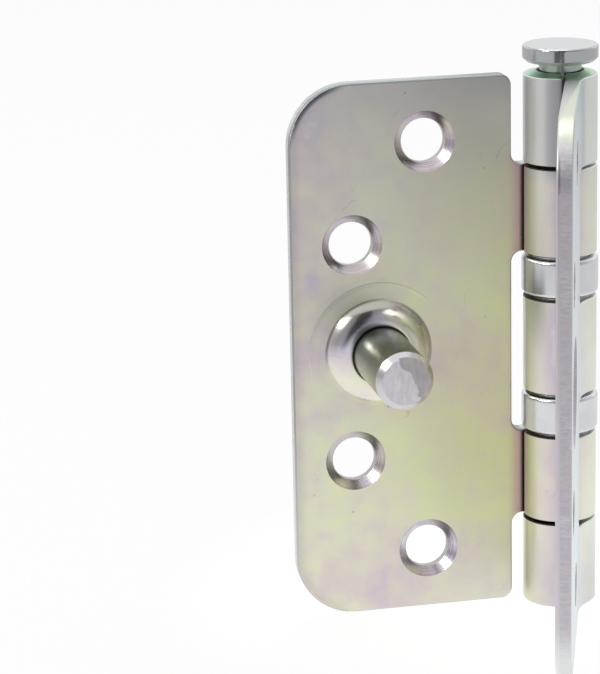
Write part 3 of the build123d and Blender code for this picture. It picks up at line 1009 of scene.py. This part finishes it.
class HINGE_OT_bearing_insides(Operator):
    """Finish the races and cages and build the balls of the two bearings"""

    bl_idname = "hinge.bearing_insides"
    bl_label = "Bearing insides"

    def ball_ring_tree(self):
        """Geometry nodes that set balls evenly on a circle."""
        tree = bpy.data.node_groups.new("Ball Ring", "GeometryNodeTree")
        tree.interface.new_socket("Geometry", in_out="OUTPUT", socket_type="NodeSocketGeometry")
        for label, kind in (
            ("Balls", "NodeSocketInt"),
            ("Pitch Radius", "NodeSocketFloat"),
            ("Ball Radius", "NodeSocketFloat"),
            ("Height", "NodeSocketFloat"),
            ("Steel", "NodeSocketMaterial"),
        ):
            tree.interface.new_socket(label, in_out="INPUT", socket_type=kind)
        sizes = tree.nodes.new("NodeGroupInput").outputs
        circle = add_node(
            tree, "GeometryNodeMeshCircle", {"Vertices": sizes["Balls"], "Radius": sizes["Pitch Radius"]},
        )
        ball = add_node(
            tree, "GeometryNodeMeshUVSphere",
            {"Segments": 24, "Rings": 16, "Radius": sizes["Ball Radius"]},
        )
        smooth = add_node(tree, "GeometryNodeSetShadeSmooth", {"Geometry": ball.outputs["Mesh"]})
        ring = add_node(
            tree, "GeometryNodeInstanceOnPoints",
            {"Points": circle.outputs["Mesh"], "Instance": smooth.outputs[0]},
        )
        lift = vector_of(tree, Z=sizes["Height"])
        raised = add_node(
            tree, "GeometryNodeTranslateInstances",
            {"Instances": ring.outputs["Instances"], "Translation": lift, "Local Space": False},
        )
        real = add_node(tree, "GeometryNodeRealizeInstances", {"Geometry": raised.outputs[0]})
        steel = add_node(
            tree, "GeometryNodeSetMaterial", {"Geometry": real.outputs[0], "Material": sizes["Steel"]},
        )
        result = tree.nodes.new("NodeGroupOutput")
        tree.links.new(steel.outputs[0], result.inputs["Geometry"])
        return tree

    def balls(self, tree, level, bearing, steel):
        """The balls of one bearing as one mesh on their own body."""
        low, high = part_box(f"{level}_ball_01")
        maker = add_object(f"{level}_ball_maker", bpy.data.meshes.new(f"{level}_ball_maker"))
        modifier = maker.modifiers.new("Ball Ring", "NODES")
        modifier.node_group = tree
        values = {
            "Balls": bearing.ball_count,
            "Pitch Radius": bearing.pitch_radius,
            "Ball Radius": bearing.ball_radius,
            "Height": (low.z + high.z) / 2,
            "Steel": steel,
        }
        for item in tree.interface.items_tree:
            if item.in_out == "INPUT":
                modifier[item.identifier] = values[item.name]
        depsgraph = bpy.context.evaluated_depsgraph_get()
        mesh = bpy.data.meshes.new_from_object(maker.evaluated_get(depsgraph))
        bpy.data.objects.remove(maker)
        ring = add_object(f"{level}_ball_ring", mesh)
        if len(mesh.polygons) == 0:
            raise RuntimeError(f"the {level} ball ring came out empty")
        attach(ring, f"{level}_balls")
        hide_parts(*(f"{level}_ball_{number:02d}" for number in range(1, bearing.ball_count + 1)))

    def execute(self, context):
        bearing = context.scene.hinge_bearing
        race = plain_steel("race_steel_ground", RACE_STEEL, 0.22, 0.1 * MM)
        brass = plain_steel("cage_brass_stamped", CAGE_BRASS, 0.32, 0.15 * MM)
        ball = plain_steel("ball_steel_polished", BALL_STEEL, 0.05, 0.2 * MM)
        tree = self.ball_ring_tree()
        for level in ("upper", "lower"):
            for end in ("top", "bottom"):
                frame["nodes"][f"{level}_bearing_{end}_race"].material_slots[0].material = race
            frame["nodes"][f"{level}_ball_cage"].material_slots[0].material = brass
            self.balls(tree, level, bearing, ball)
        return {"FINISHED"}


def direction_at(azimuth, elevation):
    """Direction from the object to a camera or lamp at the given angles."""
    return Vector((sin(azimuth) * cos(elevation), -cos(azimuth) * cos(elevation), sin(elevation)))


class HINGE_OT_stage(Operator):
    """Set up the floor, the light tent and the camera"""

    bl_idname = "hinge.stage"
    bl_label = "Stage"

    def background_rays(self, tree):
        """1 for the rays that see the background: from the camera, in gloss and through glass."""
        rays = tree.nodes.new("ShaderNodeLightPath").outputs
        seen = arithmetic(tree, "MAXIMUM", rays["Is Camera Ray"], rays["Is Glossy Ray"])
        return arithmetic(tree, "MAXIMUM", seen, rays["Is Transmission Ray"]), rays["Is Camera Ray"]

    def bare_material(self, name):
        """A material with nothing on its output, its tree and its surface socket."""
        material = bpy.data.materials.new(name)
        material.use_nodes = True
        tree = material.node_tree
        tree.nodes.remove(tree.nodes["Principled BSDF"])
        return material, tree, tree.nodes["Material Output"].inputs["Surface"]

    def aside_of(self, tree, place, azimuth):
        """Angle about the barrel from the direction at an azimuth."""
        parts = parts_of(tree, place)
        turn = arithmetic(tree, "ARCTAN2", parts["X"], arithmetic(tree, "MULTIPLY", parts["Y"], -1.0))
        return gap(tree, turn, azimuth)

    def world(self):
        """White all round, and a little dimmer as a lamp."""
        world = bpy.data.worlds.new("light_tent")
        world.use_nodes = True
        tree = world.node_tree
        seen = self.background_rays(tree)[0]
        background = tree.nodes["Background"]
        background.inputs["Color"].default_value = (1, 1, 1, 1)
        feed(tree, background.inputs["Strength"], add_share(tree, seen, 0.25, 0.75))
        bpy.context.scene.world = world

    def floor(self, stage):
        """White floor that keeps the shadow. In gloss it dims away from the object and towards the camera."""
        half, fading, pool_end = 4.0, 0.25, 0.45
        points = [(-half, -half, 0), (half, -half, 0), (half, half, 0), (-half, half, 0)]
        floor = add_mesh("floor", points, [(0, 1, 2, 3)])
        material, tree, surface = self.bare_material("floor_white")
        seen, camera = self.background_rays(tree)
        place = object_place(tree)
        away = vector_math(tree, "LENGTH", place)
        falling = arithmetic(tree, "POWER", 2.718, arithmetic(tree, "MULTIPLY", away, -1 / fading))
        pool = add_share(tree, falling, 0.57, 0.565)
        aside = self.aside_of(tree, place, stage.azimuth - radians(8))
        open_side = ramp_between(tree, aside, radians(14), radians(16))
        lit = arithmetic(tree, "MAXIMUM", open_side, ramp_between(tree, away, pool_end, pool_end - 0.03))
        pool = share_of(tree, pool, add_share(tree, lit, 0.96, 0.04))
        glow = arithmetic(tree, "MAXIMUM", pool, camera)
        paper = add_node(tree, "ShaderNodeBsdfDiffuse", {"Color": PAPER_WHITE})
        light = add_node(tree, "ShaderNodeEmission", {"Strength": glow})
        share = share_of(tree, seen, add_share(tree, lit, -0.13, 0.98))
        shaders = {0: share, 1: paper.outputs[0], 2: light.outputs[0]}
        feed(tree, surface, add_node(tree, "ShaderNodeMixShader", shaders).outputs[0])
        floor.data.materials.append(material)

    def room_wall(self, stage):
        """Grey room in front of the object, darkest behind the camera and seen only in reflections."""
        radius, height, half_turn, panels = 1.2, 1.5, radians(115), 48
        points = []
        for step in range(panels + 1):
            turn = stage.azimuth + half_turn * (2 * step / panels - 1)
            points += [(radius * sin(turn), -radius * cos(turn), z) for z in (0.0, height)]
        faces = [(2 * n, 2 * n + 1, 2 * n + 3, 2 * n + 2) for n in range(panels)]
        wall = add_mesh("room_wall", points, faces)
        material, tree, surface = self.bare_material("room_grey")
        aside = self.aside_of(tree, object_place(tree), stage.azimuth)
        shade = add_share(tree, ramp_between(tree, aside, radians(11), radians(16)), 0.345, 0.015)
        shade = add_share(tree, ramp_between(tree, aside, radians(40), radians(110)), 0.4, shade)
        feed(tree, surface, add_node(tree, "ShaderNodeEmission", {"Strength": shade}).outputs[0])
        wall.data.materials.append(material)
        wall.visible_camera = False
        wall.visible_diffuse = False
        wall.visible_shadow = False

    def softbox(self, name, watts, azimuth, elevation, width, height):
        """A lamp that faces the object from the given side."""
        distance = 1.0
        lamp = bpy.data.lights.new(name, "AREA")
        lamp.shape = "RECTANGLE"
        lamp.size = width
        lamp.size_y = height
        lamp.energy = watts
        direction = direction_at(azimuth, elevation)
        holder = add_object(name, lamp)
        holder.location = Vector((-LEAF_REACH / 2, 0, LEAF_HEIGHT / 2)) + direction * distance
        holder.rotation_euler = direction.to_track_quat("Z", "Y").to_euler()

    def camera(self, stage):
        """The camera, at the fitted angle."""
        turn, roll = stage.azimuth, stage.roll
        back = direction_at(turn, stage.elevation)
        level = Vector((cos(turn), sin(turn), 0))
        upright = back.cross(level)
        right = level * cos(roll) + upright * sin(roll)
        up = upright * cos(roll) - level * sin(roll)
        data = bpy.data.cameras.new("camera")
        data.lens = stage.lens
        data.sensor_width = 36.0
        data.clip_start = 0.01
        holder = add_object("camera", data)
        rotation = Matrix((right, up, back)).transposed().to_4x4()
        holder.matrix_world = Matrix.Translation(Vector(stage.aim) + back * stage.distance) @ rotation
        bpy.context.scene.camera = holder

    def execute(self, context):
        stage = context.scene.hinge_stage
        context.scene.view_settings.view_transform = "Standard"
        self.camera(stage)
        self.world()
        self.floor(stage)
        self.room_wall(stage)
        self.softbox("key_softbox", stage.key_watts, radians(-66), radians(36.5), width=0.36, height=0.22)
        self.softbox("top_softbox", stage.top_watts, radians(170), radians(68), width=0.4, height=0.2)
        return {"FINISHED"}


class HINGE_PT_panel(Panel):
    """Lists the steps of the finish"""

    bl_label = "Hinge"
    bl_idname = "HINGE_PT_panel"
    bl_space_type = "VIEW_3D"
    bl_region_type = "UI"
    bl_category = "Hinge"

    def draw(self, context):
        for step in STEPS:
            self.layout.operator(step.bl_idname)
        for group in ("hinge_finish", "hinge_bearing", "hinge_stage"):
            settings = getattr(context.scene, group)
            for name in settings.bl_rna.properties.keys():
                if name not in ("rna_type", "name"):
                    self.layout.prop(settings, name)


STEPS = (
    HINGE_OT_plating,
    HINGE_OT_leaves,
    HINGE_OT_pins,
    HINGE_OT_bearing_rings,
    HINGE_OT_bearing_insides,
    HINGE_OT_stage,
)
CLASSES = (HingeFinish, HingeBearing, HingeStage) + STEPS + (HINGE_PT_panel,)


def register():
    for each in CLASSES:
        bpy.utils.register_class(each)
    bpy.types.Scene.hinge_finish = PointerProperty(type=HingeFinish)
    bpy.types.Scene.hinge_bearing = PointerProperty(type=HingeBearing)
    bpy.types.Scene.hinge_stage = PointerProperty(type=HingeStage)


def unregister():
    del bpy.types.Scene.hinge_stage
    del bpy.types.Scene.hinge_bearing
    del bpy.types.Scene.hinge_finish
    for each in reversed(CLASSES):
        bpy.utils.unregister_class(each)


def main():
    register()
    bpy.ops.hinge.plating()
    bpy.ops.hinge.leaves()
    bpy.ops.hinge.pins()
    bpy.ops.hinge.bearing_rings()
    bpy.ops.hinge.bearing_insides()
    bpy.ops.hinge.stage()


if __name__ == "__main__":
    main()
